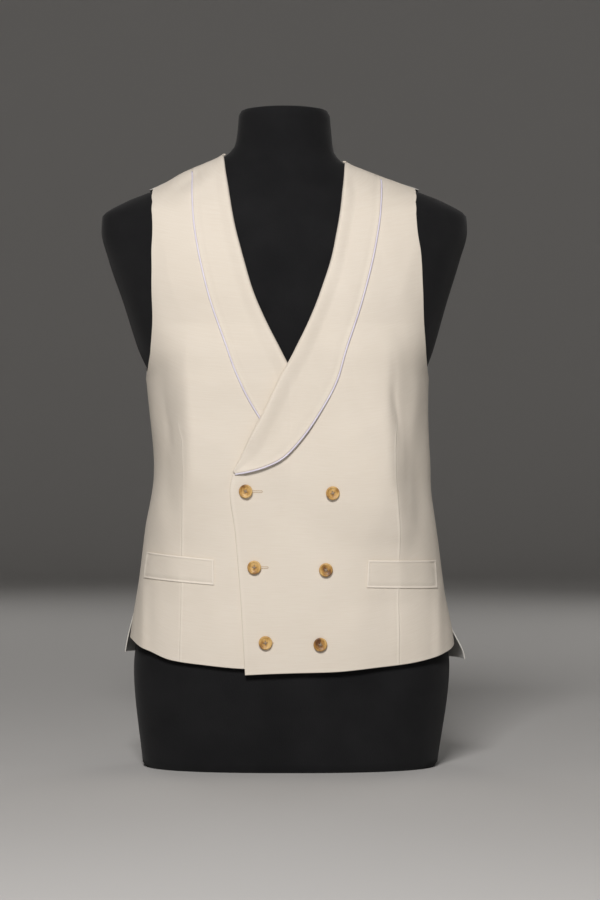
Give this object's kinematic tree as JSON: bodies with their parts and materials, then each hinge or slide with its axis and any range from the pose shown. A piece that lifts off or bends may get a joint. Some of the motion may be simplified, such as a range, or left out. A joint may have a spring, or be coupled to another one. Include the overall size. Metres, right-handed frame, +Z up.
{
  "type": "double-breasted waistcoat on a limbless dress form",
  "caption": "Cream double-breasted waistcoat with piped shawl lapels, welt pockets and horn buttons, worn by a plain black limbless dress form with a flat base.",
  "frame": {"origin": "middle of the dress form's flat base", "axes": "+Z up along the body, -Y the way the wearer faces, +X to the wearer's left"},
  "size_m": [0.4448, 0.2479, 0.797],
  "materials": {
    "cream_cloth": "matt fine plain weave with faint slubs",
    "back_cloth": "ivory satin with a soft sheen",
    "piping_cloth": "pale lilac-white satin cord",
    "horn": "polished mottled amber horn",
    "form_cloth": "matt black jersey",
    "sewing_thread": "matt grey-beige cotton thread"
  },
  "bodies": {
    "root": {"front_left": "cream_cloth", "lapel_left": "cream_cloth", "welt_left": "cream_cloth", "piping_left": "piping_cloth", "back_left": "back_cloth", "front_right": "cream_cloth", "lapel_right": "cream_cloth", "welt_right": "cream_cloth", "piping_right": "piping_cloth", "back_right": "back_cloth", "button_top_left": "horn", "button_top_right": "horn", "button_middle_left": "horn", "button_middle_right": "horn", "button_bottom_left": "horn", "button_bottom_right": "horn", "dress_form": "form_cloth"}
  },
  "joints": []
}
